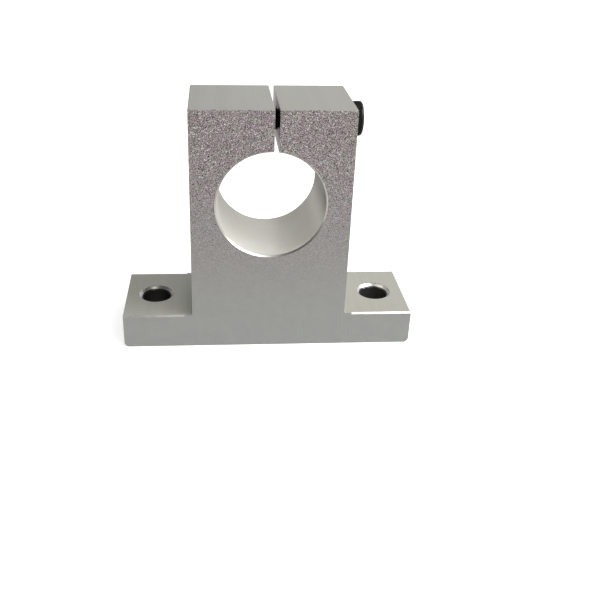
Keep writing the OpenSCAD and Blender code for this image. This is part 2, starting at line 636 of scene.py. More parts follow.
@dataclass(frozen=True)
class MetalFinish:
    """A metal surface with grain, tool marks and a slow drift of tone."""

    name: str
    colour: Colour
    other: Colour
    roughness: float
    metallic: float = 0.85
    specular: float = 0.5
    glancing: Colour = (1.0, 1.0, 1.0)
    patch: float = 22 * MM
    drift: float = 0.08
    grain: Grain = Grain()
    marks: Marks = Marks()
    rise: Rise | None = None

    def build(self) -> bpy.types.Material:
        """Builds the material.

        Returns:
            The material.
        """
        material = bpy.data.materials.new(self.name)
        material.use_nodes = True
        tree = NodeTree(material.node_tree)
        shader = material.node_tree.nodes["Principled BSDF"]
        handling = HANDLING.place(tree, Size=self.patch)
        grain = GRAIN.place(tree, Size=self.grain.size)
        across = dict(zip(("Across_X", "Across_Y", "Across_Z"), self.marks.pattern.value))
        marks = LINES.place(tree, Pitch=self.marks.pitch, **across)

        height = self.height(tree)
        share = self.grain_share(tree, height)
        shaded = tree.add("VectorMath", operation="SCALE")
        tree.feed(shaded.inputs[0], self.tone(tree, handling, height))
        tree.feed(shaded.inputs["Scale"], self.brightness(tree, handling, grain, marks, share))
        flecked = tree.math("MULTIPLY", grain.outputs["Fleck"], self.grain.flecks)
        colour = tree.blend(tree.math("MULTIPLY", flecked, share), shaded.outputs[0], BARE_METAL_AND_GLINT)
        tree.feed(shader.inputs["Base Color"], colour)

        smoothest = self.roughness - GLOSS_DRIFT / 2
        gloss = tree.math("MULTIPLY_ADD", handling.outputs["Drift"], GLOSS_DRIFT, smoothest)
        tree.feed(shader.inputs["Roughness"], gloss)
        shader.inputs["Metallic"].default_value = self.metallic
        shader.inputs["Specular IOR Level"].default_value = self.specular
        shader.inputs["Specular Tint"].default_value = (*self.glancing, 1.0)
        tree.feed(shader.inputs["Normal"], self.relief(tree, grain, marks, share))
        return material

    def height(self, tree: NodeTree) -> bpy.types.NodeSocket | None:
        """Works out how far along the rise a point lies, from 0 at its low end to 1 at its high end.

        Args:
            tree: The material's nodes.

        Returns:
            The height, or nothing where the surface is the same all over.
        """
        if self.rise is None:
            return None
        place = tree.add("VectorMath", operation="DOT_PRODUCT")
        tree.feed(place.inputs[0], tree.add("TexCoord").outputs["Object"])
        place.inputs[1].default_value = self.rise.along
        return tree.remap(place.outputs["Value"], self.rise.low, self.rise.high)

    def grain_share(
        self, tree: NodeTree, height: bpy.types.NodeSocket | None
    ) -> bpy.types.NodeSocket | float:
        """Works out how strong the grain is: full, or fuller towards the rise's high end.

        Args:
            tree: The material's nodes.
            height: How far along the rise a point lies.

        Returns:
            The strength, 1 where it is full.
        """
        if self.rise is None or height is None:
            return 1.0
        return tree.math("POWER", height, GRAIN_GATHERING)

    def tone(
        self, tree: NodeTree, handling: bpy.types.Node, height: bpy.types.NodeSocket | None
    ) -> bpy.types.NodeSocket:
        """Mixes the surface's colours in soft patches, and along the rise.

        Args:
            tree: The material's nodes.
            handling: The handling group.
            height: How far along the rise a point lies.

        Returns:
            The colour before grain and marks.
        """
        own: object = self.colour
        other: object = self.other
        if self.rise is not None and height is not None:
            own = tree.blend(height, self.colour, self.rise.colour)
            other = tree.blend(height, self.other, self.rise.other)
        return tree.blend(handling.outputs["Tint"], own, other)

    def brightness(
        self,
        tree: NodeTree,
        handling: bpy.types.Node,
        grain: bpy.types.Node,
        marks: bpy.types.Node,
        share: bpy.types.NodeSocket | float,
    ) -> bpy.types.NodeSocket:
        """Works out how bright the surface is at each point, where 1 leaves its colour as it is.

        Args:
            tree: The material's nodes.
            handling: The handling group.
            grain: The grain group.
            marks: The marks group.
            share: Strength of the grain.

        Returns:
            The brightness.
        """
        level = tree.math("MULTIPLY_ADD", handling.outputs["Drift"], self.drift, 1 - self.drift / 2)
        centred = tree.math("SUBTRACT", grain.outputs["Height"], NOISE_MEAN)
        speckle = tree.math("MULTIPLY", centred, self.grain.contrast * SPECKLE_GAIN)
        dark = tree.math("MULTIPLY", grain.outputs["Pit"], -self.grain.pits)
        dots = tree.math("ADD", speckle, dark)
        fine = tree.math("SUBTRACT", marks.outputs["Fine"], NOISE_MEAN)
        broad = tree.math("SUBTRACT", marks.outputs["Broad"], NOISE_MEAN)
        lines = tree.math("MULTIPLY", tree.math("ADD", fine, broad), self.marks.contrast * MARKS_GAIN)
        textured = tree.math("ADD", tree.math("MULTIPLY", dots, share), lines)
        return tree.math("MAXIMUM", tree.math("ADD", level, textured), DARKEST)

    def relief(
        self,
        tree: NodeTree,
        grain: bpy.types.Node,
        marks: bpy.types.Node,
        share: bpy.types.NodeSocket | float,
    ) -> bpy.types.NodeSocket:
        """Turns grain and marks into a bumped normal.

        Args:
            tree: The material's nodes.
            grain: The grain group.
            marks: The marks group.
            share: Strength of the grain.

        Returns:
            The normal.
        """
        pitted = tree.math("MULTIPLY", grain.outputs["Height"], self.grain.depth)
        scored = tree.math("MULTIPLY", marks.outputs["Fine"], self.marks.depth)
        bump = tree.add("Bump")
        bump.inputs["Distance"].default_value = 1.0
        bump.inputs["Strength"].default_value = 1.0
        worn = tree.math("MULTIPLY", pitted, share)
        tree.feed(bump.inputs["Height"], tree.math("ADD", worn, scored))
        return bump.outputs["Normal"]


BLOCK_FINISHES: dict[Zone, MetalFinish] = {
    Zone.BLASTED: MetalFinish(
        "block_blasted",
        (0.337, 0.343, 0.322),
        (0.329, 0.332, 0.318),
        roughness=0.55,
        metallic=0.55,
        patch=6 * MM,
        drift=0.04,
        grain=Grain(0.31 * MM, contrast=2.25, depth=0.060 * MM, flecks=0.95, pits=1.8),
        # Front and back faces turn darker and more mauve upwards: the darkening is painted shade, the
        # mauve a tint of the surface
        rise=Rise(0.0, 92 * MM, (0.262, 0.214, 0.223), (0.247, 0.224, 0.209)),
    ),
    Zone.DRAWN: MetalFinish(
        "block_drawn",
        (0.402, 0.402, 0.357),
        (0.402, 0.395, 0.345),
        roughness=0.42,
        metallic=0.60,
        patch=70 * MM,
        drift=0.04,
        grain=Grain(0.5 * MM, contrast=0.05, depth=0.004 * MM),
        marks=Marks(Pattern.ALONG_Y, 0.6 * MM, contrast=0.07, depth=0.004 * MM),
        # Drawn faces grow darker upwards, so the base's tops are paler than the upright's top: painted
        # light and shade
        rise=Rise(14 * MM, 96 * MM, (0.312, 0.312, 0.284), (0.312, 0.306, 0.274)),
    ),
    Zone.BORED: MetalFinish(
        "block_bored",
        (0.775, 0.770, 0.715),
        (0.760, 0.745, 0.675),
        roughness=0.40,
        metallic=0.65,
        glancing=(0.40, 0.39, 0.37),
        drift=0.05,
        grain=Grain(0.5 * MM, contrast=0.02),
        marks=Marks(Pattern.ROUND_Y, 0.6 * MM, contrast=0.03, depth=0.0006 * MM),
        # The bore's wall darkens up and towards the screw head: painted shade
        rise=Rise(
            49 * MM, 59 * MM, (0.300, 0.292, 0.268), (0.280, 0.270, 0.242), along=BORE_PAINTED_SHADE_DIRECTION
        ),
    ),
    # Bolt-hole walls are near black: painted shade of the deep hole
    Zone.DRILLED: MetalFinish(
        "block_drilled_painted_shade",
        (0.110, 0.108, 0.104),
        (0.090, 0.087, 0.082),
        roughness=0.42,
        marks=Marks(Pattern.ROUND_Z, 0.4 * MM, contrast=0.10, depth=0.004 * MM),
    ),
    Zone.TAPPED: MetalFinish(
        "block_tapped",
        (0.300, 0.295, 0.285),
        (0.260, 0.252, 0.240),
        roughness=0.38,
        marks=Marks(Pattern.ROUND_X, 0.4 * MM, contrast=0.08, depth=0.004 * MM),
    ),
    Zone.SAWN: MetalFinish(
        "block_sawn",
        (0.260, 0.257, 0.250),
        (0.240, 0.234, 0.224),
        roughness=0.22,
        metallic=0.95,
        glancing=(0.50, 0.49, 0.47),
        marks=Marks(Pattern.ALONG_Y, 0.35 * MM, contrast=0.08, depth=0.0006 * MM),
        # The slit's walls grow paler towards the top, where light falls in from above: painted light
        rise=Rise(80 * MM, 94 * MM, (0.460, 0.455, 0.435), (0.440, 0.425, 0.400)),
    ),
    Zone.CUT: MetalFinish(
        "block_fresh_cut",
        (0.60, 0.59, 0.57),
        (0.55, 0.54, 0.52),
        roughness=0.34,
        metallic=0.95,
        grain=Grain(0.4 * MM, contrast=0.10),
        marks=Marks(pitch=0.3 * MM, contrast=0.10, depth=0.003 * MM),
    ),
    # Countersinks: the inner half is near black as painted shade, the outer rim has the bright cut
    # colour
    Zone.SUNK: MetalFinish(
        "block_countersunk_painted_shade",
        (0.050, 0.049, 0.047),
        (0.040, 0.039, 0.037),
        roughness=0.34,
        metallic=0.95,
        marks=Marks(Pattern.ROUND_Z, 0.3 * MM, contrast=0.10, depth=0.003 * MM),
        rise=Rise(12.92 * MM, 13.12 * MM, (0.62, 0.61, 0.59), (0.56, 0.55, 0.53)),
    ),
    # Eased edges are paler and flecked white: partly rubbed wear, partly painted highlight
    Zone.EDGE: MetalFinish(
        "block_rubbed_edge_and_highlight",
        (0.50, 0.49, 0.47),
        (0.40, 0.39, 0.37),
        roughness=0.32,
        metallic=0.95,
        patch=3 * MM,
        grain=Grain(0.5 * MM, contrast=0.6, depth=0.010 * MM, flecks=0.8, pits=0.8),
    ),
}

SCREW_FINISHES: dict[ScrewZone, MetalFinish] = {
    ScrewZone.BLACKENED: MetalFinish(
        "screw_black_oxide",
        (0.0050, 0.0050, 0.0055),
        (0.0075, 0.0070, 0.0065),
        roughness=0.40,
        metallic=0.0,
        specular=0.14,
        glancing=(0.55, 0.55, 0.57),
        drift=0.25,
        grain=Grain(0.35 * MM, contrast=0.20, depth=0.004 * MM),
    ),
    ScrewZone.RUBBED: MetalFinish(
        "screw_rubbed_edge",
        (0.012, 0.012, 0.013),
        (0.026, 0.024, 0.023),
        roughness=0.36,
        metallic=0.3,
        specular=0.28,
        patch=4 * MM,
        drift=0.3,
        grain=Grain(0.3 * MM, contrast=0.35),
    ),
}


# ---------------------------------------------------------------------------
# Block
# ---------------------------------------------------------------------------


def mount(name: str) -> dict:
    """Finds one of the record's mounts.

    Args:
        name: The mount's name.

    Returns:
        The mount's row.
    """
    return next(row for row in frame["record"]["mounts"] if row["name"] == name)


@dataclass
class Block:
    """The machined extrusion, from its section to its finishes."""

    node: str = "block"
    base_t: float = 14 * MM
    upright_w: float = 60 * MM
    foot_r: float = 2 * MM
    foot_facets: int = 8
    root_r: float = 0.8 * MM
    root_facets: int = 5
    edge_break: float = 0.3 * MM
    deburr: float = 0.6 * MM
    deburr_stop: float = 3 * MM
    bore_chamfer: float = 1.0 * MM
    bore_lip: float = 0.55 * MM
    bore_lead: float = 2.6 * MM
    slit_w: float = 1.8 * MM
    slit_offset: float = 1.5 * MM
    slit_deburr: float = 0.25 * MM
    bolt_chamfer: float = 1.4 * MM
    clear_r: float = 4.5 * MM
    clear_chamfer: float = 0.5 * MM
    counterbore_r: float = 7 * MM
    counterbore_depth: float = 3.5 * MM
    counterbore_break: float = 0.3 * MM
    tap_r: float = 4.05 * MM
    tap_chamfer: float = 0.8 * MM
    easing: float = 0.10 * MM
    slit_easing: float = 0.22 * MM
    rim_easing: float = 0.20 * MM
    easing_facets: int = 2
    carving_weld: float = 0.01 * MM
    flat_angle: float = math.radians(0.2)
    bore_steps: int = 192
    hole_steps: int = 96

    def __post_init__(self) -> None:
        """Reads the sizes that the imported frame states."""
        low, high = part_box(self.node)
        shaft = mount("shaft_bore")
        bolts = mount("base_bolts")
        self.half_base = high.x
        self.half_depth = high.y
        self.top = high.z
        self.foot = low.z
        self.shaft_h = shaft["pos_m"][2]
        self.bore_r = shaft["dims"]["r_mm"] * MM
        self.bolt_x = bolts["dims"]["spacing_x_mm"] * MM / 2
        self.bolt_r = bolts["dims"]["hole_r_mm"] * MM
        self.half_upright = self.upright_w / 2
        self.screw_h = (self.shaft_h + self.bore_r + self.top) / 2

    def build(self) -> bpy.types.Object:
        """Builds and dresses the block.

        Returns:
            The finished piece.
        """
        piece = new_object("support_block", self.extrusion())
        carve(piece, self.cutters())
        self.refine(piece)
        shade_smoothly(piece)
        for zone in Zone:
            piece.data.materials.append(BLOCK_FINISHES[zone].build())
        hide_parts(self.node)
        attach(piece, "block")
        return piece

    def extrusion(self) -> bmesh.types.BMesh:
        """Draws the upside-down T, rounds its corners and extrudes it along Y.

        Returns:
            The extrusion's mesh.
        """
        base, side = self.half_base, self.half_upright
        outline = (
            (-base, self.foot),
            (base, self.foot),
            (base, self.base_t),
            (side, self.base_t),
            (side, self.top),
            (-side, self.top),
            (-side, self.base_t),
            (-base, self.base_t),
        )
        bm = bmesh.new()
        bm.faces.new([bm.verts.new((x, -self.half_depth, z)) for x, z in outline])
        self.round_corners(bm, self.foot_r, self.foot_facets, self.at_foot)
        self.round_corners(bm, self.root_r, self.root_facets, self.at_root)
        self.round_corners(bm, self.edge_break, 1, self.at_upper_corner)
        grown = bmesh.ops.extrude_face_region(bm, geom=list(bm.faces))
        moved = [item for item in grown["geom"] if isinstance(item, bmesh.types.BMVert)]
        bmesh.ops.translate(bm, verts=moved, vec=(0, 2 * self.half_depth, 0))
        bmesh.ops.recalc_face_normals(bm, faces=bm.faces)
        return bm

    def at_foot(self, point: Vector) -> bool:
        """Says whether a corner of the plain T stands on the ground."""
        return point.z < self.foot + WELD

    def at_root(self, point: Vector) -> bool:
        """Says whether a corner of the plain T is an inner one."""
        return abs(abs(point.x) - self.half_upright) < WELD and abs(point.z - self.base_t) < WELD

    def at_upper_corner(self, point: Vector) -> bool:
        """Says whether a corner of the plain T is an upper outer one.

        Args:
            point: The corner.

        Returns:
            True on the top face's ends and on the base's upper ends.
        """
        on_top = abs(point.z - self.top) < WELD
        on_end = abs(abs(point.x) - self.half_base) < WELD and abs(point.z - self.base_t) < WELD
        return on_top or on_end

    def round_corners(
        self, bm: bmesh.types.BMesh, size: float, segments: int, wanted: Callable[[Vector], bool]
    ) -> None:
        """Rounds corners of the flat section.

        Args:
            bm: The section's mesh.
            size: How far the rounding reaches along each side.
            segments: Facets round it; one makes a straight break.
            wanted: Says which corners are rounded.
        """
        bmesh.ops.bevel(
            bm,
            geom=[corner for corner in bm.verts if wanted(corner.co)],
            offset=size,
            offset_type="OFFSET",
            segments=segments,
            profile=0.5,
            affect="VERTICES",
            clamp_overlap=True,
            material=-1,
        )

    def cutters(self) -> list[bmesh.types.BMesh]:
        """Builds the shape of every machining cut.

        Returns:
            The cutters, in the order they are used.
        """
        cuts = [self.bore_cut(), self.slit_cut(), self.tapped_cut(), self.clearance_cut()]
        for side in Side:
            cuts.append(self.bolt_cut(side))
            for face in (-1, 1):
                cuts.append(self.deburr_cut(side, face))
        return cuts

    def hole_profile(self, radius: float, length: float, chamfer: float) -> Profile:
        """Draws a through hole with a chamfer at each mouth, past both ends.

        Args:
            radius: The hole's radius.
            length: From mouth to mouth.
            chamfer: Size of both chamfers.

        Returns:
            Radius and height of each corner.
        """
        wide = radius + chamfer + OVERRUN
        return (
            (0, -OVERRUN),
            (wide, -OVERRUN),
            (radius, chamfer),
            (radius, length - chamfer),
            (wide, length + OVERRUN),
            (0, length + OVERRUN),
        )

    def bore_cut(self) -> bmesh.types.BMesh:
        """Builds the shaft bore's cutter, whose chamfers run out softly into the wall.

        Returns:
            The cutter.
        """
        rim = self.bore_r + self.bore_chamfer
        length = 2 * self.half_depth
        mouth = (
            (0, -OVERRUN),
            (rim + OVERRUN, -OVERRUN),
            (rim - self.bore_lip, self.bore_lip),
            (self.bore_r, self.bore_lead),
        )
        profile = (*mouth, *((radius, length - depth) for radius, depth in reversed(mouth)))
        place = along_y(Vector((0, -self.half_depth, self.shaft_h)))
        return lathe(profile, self.bore_steps, place)

    def bolt_cut(self, side: Side) -> bmesh.types.BMesh:
        """Builds a bolt hole's cutter.

        Args:
            side: Which hole.

        Returns:
            The cutter.
        """
        profile = self.hole_profile(self.bolt_r, self.base_t - self.foot, self.bolt_chamfer)
        place = Matrix.Translation((side.value * self.bolt_x, 0, self.foot))
        return lathe(profile, self.hole_steps, place)

    def slit_cut(self) -> bmesh.types.BMesh:
        """Builds the saw cut's cutter, flared where its upper edges were deburred.

        Returns:
            The cutter.
        """
        wall = self.slit_w / 2
        mouth = wall + self.slit_deburr + OVERRUN
        start = -self.half_depth - OVERRUN
        outline = (
            (-wall, self.shaft_h),
            (wall, self.shaft_h),
            (wall, self.top - self.slit_deburr),
            (mouth, self.top + OVERRUN),
            (-mouth, self.top + OVERRUN),
            (-wall, self.top - self.slit_deburr),
        )
        corners = [Vector((self.slit_offset + x, start, z)) for x, z in outline]
        return prism(corners, Vector((0, -2 * start, 0)))

    def tapped_cut(self) -> bmesh.types.BMesh:
        """Builds the tapped hole's cutter, from the left side face to the slit.

        Returns:
            The cutter.
        """
        wide = self.tap_r + self.tap_chamfer + OVERRUN
        length = self.half_upright + self.slit_offset
        profile = (
            (0, -OVERRUN),
            (wide, -OVERRUN),
            (self.tap_r, self.tap_chamfer),
            (self.tap_r, length),
            (0, length),
        )
        return lathe(profile, self.hole_steps, along_x(self.on_screw_axis(-self.half_upright)))

    def clearance_cut(self) -> bmesh.types.BMesh:
        """Builds the clearance hole and counterbore, from the slit to the right side face.

        Returns:
            The cutter.
        """
        side = self.half_upright - self.slit_offset
        seat = side - self.counterbore_depth
        mouth = self.counterbore_r + self.counterbore_break + OVERRUN
        profile = (
            (0, 0),
            (self.clear_r, 0),
            (self.clear_r, seat - self.clear_chamfer),
            (self.clear_r + self.clear_chamfer, seat),
            (self.counterbore_r, seat),
            (self.counterbore_r, side - self.counterbore_break),
            (mouth, side + OVERRUN),
            (0, side + OVERRUN),
        )
        return lathe(profile, self.hole_steps, along_x(self.on_screw_axis(self.slit_offset)))

    def deburr_cut(self, side: Side, face: int) -> bmesh.types.BMesh:
        """Builds the cutter of one deburred upper edge of the base.

        Args:
            side: Left or right flange.
            face: -1 for the front edge, 1 for the back edge.

        Returns:
            The cutter.
        """
        stop = side.value * (self.half_upright + self.deburr_stop)
        run = self.half_base - self.half_upright - self.deburr_stop + OVERRUN
        reach = self.deburr + OVERRUN
        outline = ((OVERRUN, OVERRUN), (-reach, OVERRUN), (OVERRUN, -reach))
        corners = [
            Vector((stop, face * (self.half_depth + out), self.base_t + up)) for out, up in outline
        ]
        return prism(corners, Vector((side.value * run, 0, 0)))

    def on_screw_axis(self, x: float) -> Vector:
        """Finds the point of the screw's axis at a given X."""
        return Vector((x, 0, self.screw_h))

    def refine(self, piece: bpy.types.Object) -> None:
        """Eases the sharp edges and sorts the faces into zones.

        Args:
            piece: The carved block.
        """
        bm = bmesh.new()
        bm.from_mesh(piece.data)
        bmesh.ops.remove_doubles(bm, verts=bm.verts, dist=self.carving_weld)
        bmesh.ops.dissolve_degenerate(bm, edges=bm.edges, dist=WELD)
        bmesh.ops.dissolve_limit(
            bm, angle_limit=self.flat_angle, verts=bm.verts, edges=bm.edges
        )
        for face in bm.faces:
            face.material_index = self.zone_of(face)
        easings = (
            (self.slit_easing, self.at_slit_mouth),
            (self.rim_easing, self.at_top_rim),
            (self.rim_easing, self.at_bolt_rim),
            (self.easing, None),
        )
        # Eased edges take the finish that is partly rubbed wear, partly painted highlight
        for width, wanted in easings:
            for face in ease_edges(bm, width, self.easing_facets, wanted):
                face.material_index = Zone.EDGE
        bm.to_mesh(piece.data)
        bm.free()

    def at_slit_mouth(self, middle: Vector) -> bool:
        """Says whether a point lies on an edge where the slit opens to the front or back."""
        beside = abs(abs(middle.x - self.slit_offset) - self.slit_w / 2) < WELD
        return beside and abs(middle.y) > self.half_depth - WELD

    def at_top_rim(self, middle: Vector) -> bool:
        """Says whether a point lies on the long front or back edge of the top face."""
        return middle.z > self.top - WELD and abs(middle.y) > self.half_depth - WELD

    def at_bolt_rim(self, middle: Vector) -> bool:
        """Says whether a point lies on the upper rim of a bolt hole."""
        from_bolt = math.hypot(abs(middle.x) - self.bolt_x, middle.y)
        return middle.z > self.base_t - WELD and from_bolt < self.bolt_r + self.bolt_chamfer + WELD

    def zone_of(self, face: bmesh.types.BMFace) -> Zone:
        """Sorts a face by how it was made.

        Args:
            face: A face of the carved block.

        Returns:
            Its zone.
        """
        middle, normal = face.calc_center_median(), face.normal
        from_shaft = math.hypot(middle.x, middle.z - self.shaft_h)
        from_bolt = math.hypot(abs(middle.x) - self.bolt_x, middle.y)
        from_screw = math.hypot(middle.y, middle.z - self.screw_h)
        inside = (
            abs(middle.x) < self.half_upright - WELD and abs(middle.y) < self.half_depth - WELD
        )
        chamfered = CHAMFER_RANGE[0] < abs(normal.y) < CHAMFER_RANGE[1]
        in_bore = from_shaft < self.bore_r + self.bore_chamfer
        if abs(normal.y) > SQUARE and abs(middle.y) > self.half_depth - WELD:
            return Zone.BLASTED
        if in_bore and abs(normal.y) < LEAD_SLOPE and inside:
            return Zone.BORED
        if in_bore and chamfered:
            return Zone.CUT
        if from_bolt < self.bolt_r + self.bolt_chamfer and abs(normal.z) < SQUARE:
            # Bolt-hole walls take the near-black finish, painted shade
            if abs(normal.z) < WALL_SLOPE:
                return Zone.DRILLED
            # Upper countersinks take the finish whose inner half is painted shade
            return Zone.SUNK if middle.z > self.base_t / 2 else Zone.CUT
        if abs(normal.x) > SQUARE and abs(middle.x - self.slit_offset) < self.slit_w:
            return Zone.SAWN
        if from_screw < self.counterbore_r + self.counterbore_break and inside:
            return Zone.TAPPED
        if chamfered or self.is_slit_deburr(middle, normal):
            return Zone.CUT
        return Zone.DRAWN

    def is_slit_deburr(self, middle: Vector, normal: Vector) -> bool:
        """Says whether a face is the small chamfer along an upper edge of the slit."""
        upper = middle.z > self.top - self.slit_deburr and abs(normal.z) < CHAMFER_RANGE[1]
        return upper and abs(middle.x - self.slit_offset) < self.slit_w


# ---------------------------------------------------------------------------
# Screw
# ---------------------------------------------------------------------------


HEX_HALF_ANGLE = math.radians(30)
DRILL_ANGLE = math.radians(30)


@dataclass
class Thread:
    """A 60 degree thread, as a ridge swept along its helix."""

    root_r: float
    crest_r: float
    start: float
    length: float
    pitch: float = 1.25 * MM
    steps: int = 40
    crest_share: float = 0.125
    root_share: float = 0.92
    sunk: float = 0.10 * MM
    run_out: float = 1.2 * MM

    def build(self, place: Matrix) -> bmesh.types.BMesh:
        """Sweeps the ridge.

        Args:
            place: Where the thread goes; it climbs its own +Z.

        Returns:
            The ridge's closed mesh.
        """
        outward = math.copysign(1, self.crest_r - self.root_r)
        buried = self.root_r - outward * self.sunk
        half_crest = self.pitch * self.crest_share / 2
        half_root = self.pitch * self.root_share / 2
        outline = (
            (buried, -half_root),
            (self.root_r, -half_root),
            (self.crest_r, -half_crest),
            (self.crest_r, half_crest),
            (self.root_r, half_root),
            (buried, half_root),
        )
        turns = self.length / self.pitch
        steps = round(turns * self.steps)
        bm = bmesh.new()
        face = bm.faces.new([bm.verts.new((r, 0, self.start + z)) for r, z in outline])
        bmesh.ops.spin(
            bm,
            geom=[face],
            cent=(0, 0, 0),
            axis=(0, 0, 1),
            dvec=(0, 0, self.length / steps),
            angle=turns * FULL_TURN,
            steps=steps,
            use_duplicate=False,
        )
        self.taper_ends(bm, buried, steps, len(outline))
        bmesh.ops.recalc_face_normals(bm, faces=bm.faces)
        bmesh.ops.transform(bm, matrix=place, verts=bm.verts)
        return bm

    def taper_ends(
        self, bm: bmesh.types.BMesh, buried: float, steps: int, corners: int
    ) -> None:
        """Lets the ridge sink into its root over the first and last stretch.

        Args:
            bm: The ridge's mesh, before it is placed.
            buried: Radius of the ridge's hidden foot.
            steps: Steps of the sweep.
            corners: Corners of the outline.
        """
        run_steps = max(1, round(self.run_out / self.pitch * self.steps))
        bm.verts.ensure_lookup_table()
        for corner in bm.verts:
            ring = corner.index // corners
            share = min(1.0, ring / run_steps, (steps - ring) / run_steps)
            radius = math.hypot(corner.co.x, corner.co.y)
            wanted = buried + (radius - buried) * share
            corner.co.x *= wanted / radius
            corner.co.y *= wanted / radius


@dataclass
class ClampScrew:
    """The hexagon socket head cap screw, drawn along its own +Z with its seat at 0."""

    node: str = "clamp_screw"
    thread_r: float = 4 * MM
    core_r: float = 3.3 * MM
    plain_l: float = 22 * MM
    head_h: float = 8 * MM
    head_chamfer: float = 0.8 * MM
    neck_r: float = 0.4 * MM
    neck_facets: int = 4
    seat_break: float = 0.25 * MM
    tip_chamfer: float = 1 * MM
    tip_break: float = 0.3 * MM
    socket_af: float = 6 * MM
    socket_depth: float = 4.6 * MM
    socket_lead: float = 0.25 * MM
    socket_easing: float = 0.06 * MM
    # Middle of the head's rounded rim, as a share of its chamfer
    crown: float = 0.29
    # The cone between core and plain shank: how far it reaches below and above their border
    shoulder: tuple[float, float] = (0.8 * MM, 0.2 * MM)
    # Bare core at each end of the thread, and how deep the thread may sink into it at the tip
    thread_gap: float = 0.7 * MM
    thread_sunk: float = 0.2 * MM
    # Radius of the drilled floor as a share of half the width, and of the rim as one of the width
    socket_floor: float = 0.995
    socket_reach: float = 0.62
    socket_steps: int = 96
    knurl_teeth: int = 64
    knurl_depth: float = 0.16 * MM
    knurl_margin: float = 0.9 * MM
    knurl_clear: float = 0.5 * MM
    knurl_run: float = 0.3 * MM
    # Width of the rubbed band round the head, and depth to which the socket's rim is rubbed
    rubbed_w: float = 0.95 * MM
    rubbed_h: float = 1 * MM
    carving_weld: float = 0.005 * MM

    def __post_init__(self) -> None:
        """Reads the screw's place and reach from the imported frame."""
        low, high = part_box(self.node)
        self.head_r = (high.y - low.y) / 2
        self.seat_x = high.x - self.head_h
        self.shank_l = self.seat_x - low.x
        self.axis_h = (low.z + high.z) / 2

    def build(self) -> bpy.types.Object:
        """Builds and dresses the screw.

        Returns:
            The finished piece.
        """
        piece = new_object("socket_head_screw", self.turned_body())
        carve(piece, [self.socket_cut(), self.socket_lead_cut()])
        self.refine(piece)
        self.add_thread(piece)
        shade_smoothly(piece)
        for zone in ScrewZone:
            piece.data.materials.append(SCREW_FINISHES[zone].build())
        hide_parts(self.node)
        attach(piece, "clamp_screw")
        return piece

    def place(self) -> Matrix:
        """Finds the matrix that puts the screw into its hole."""
        return along_x(Vector((self.seat_x, 0, self.axis_h)))

    def turned_body(self) -> bmesh.types.BMesh:
        """Turns the plain body and presses the knurl into the head's side.

        Returns:
            The body's mesh, in place.
        """
        top = self.head_h
        low_band, high_band = self.knurl_margin, top - self.head_chamfer - self.knurl_clear
        quarter = [math.radians(90 * step / self.neck_facets) for step in range(self.neck_facets + 1)]
        fillet = [
            (
                self.thread_r + self.neck_r * (1 - math.cos(angle)),
                -self.neck_r * (1 - math.sin(angle)),
            )
            for angle in quarter
        ]
        end = -self.shank_l
        below, above = self.shoulder
        crown = self.head_chamfer * self.crown
        profile = [
            (0, end),
            (self.core_r - self.tip_break, end),
            (self.core_r, end + self.tip_break),
            (self.core_r, -self.plain_l - below),
            (self.thread_r, -self.plain_l + above),
            *fillet,
            (self.head_r - self.seat_break, 0),
            (self.head_r, self.seat_break),
            (self.head_r, low_band),
            (self.head_r, low_band + self.knurl_run),
            (self.head_r, high_band - self.knurl_run),
            (self.head_r, high_band),
            (self.head_r, top - self.head_chamfer),
            (self.head_r - crown, top - crown),
            (self.head_r - self.head_chamfer, top),
            (0, top),
        ]
        bm = lathe(profile, self.knurl_teeth * 2, Matrix.Identity(4))
        self.press_knurl(bm, low_band, high_band)
        bmesh.ops.transform(bm, matrix=self.place(), verts=bm.verts)
        return bm

    def press_knurl(self, bm: bmesh.types.BMesh, low: float, high: float) -> None:
        """Moves every other column of the head's side inwards.

        Args:
            bm: The turned body, on its own axis.
            low: Lower end of the knurled band.
            high: Upper end of the knurled band.
        """
        column = FULL_TURN / (self.knurl_teeth * 2)
        for corner in bm.verts:
            if low < corner.co.z < high:
                index = round(math.atan2(corner.co.y, corner.co.x) / column)
                if index % 2:
                    corner.co.xy *= 1 - self.knurl_depth / self.head_r

    def socket_cut(self) -> bmesh.types.BMesh:
        """Builds the hexagon's cutter.

        Returns:
            The cutter.
        """
        bm = bmesh.new()
        corner_r = self.socket_af / 2 / math.cos(HEX_HALF_ANGLE)
        depth = self.socket_depth + OVERRUN
        bmesh.ops.create_cone(
            bm, cap_ends=True, segments=6, radius1=corner_r, radius2=corner_r, depth=depth
        )
        bmesh.ops.translate(
            bm, verts=bm.verts, vec=(0, 0, self.head_h + OVERRUN - depth / 2)
        )
        bmesh.ops.transform(bm, matrix=self.place(), verts=bm.verts)
        return bm

    def socket_lead_cut(self) -> bmesh.types.BMesh:
        """Builds the drilled floor and the lead-in cone over the hexagon's corners.

        Returns:
            The cutter.
        """
        slope = math.tan(DRILL_ANGLE)
        floor_r = self.socket_af / 2 * self.socket_floor
        mouth = self.socket_af / 2 / math.cos(HEX_HALF_ANGLE) + self.socket_lead
        floor = self.head_h - self.socket_depth
        wall_top = self.head_h - (mouth - floor_r) * slope
        profile = (
            (0, floor - floor_r * slope),
            (floor_r, floor),
            (floor_r, wall_top),
            (mouth + OVERRUN, self.head_h + OVERRUN * slope),
            (0, self.head_h + OVERRUN * slope),
        )
        return lathe(profile, self.socket_steps, self.place())

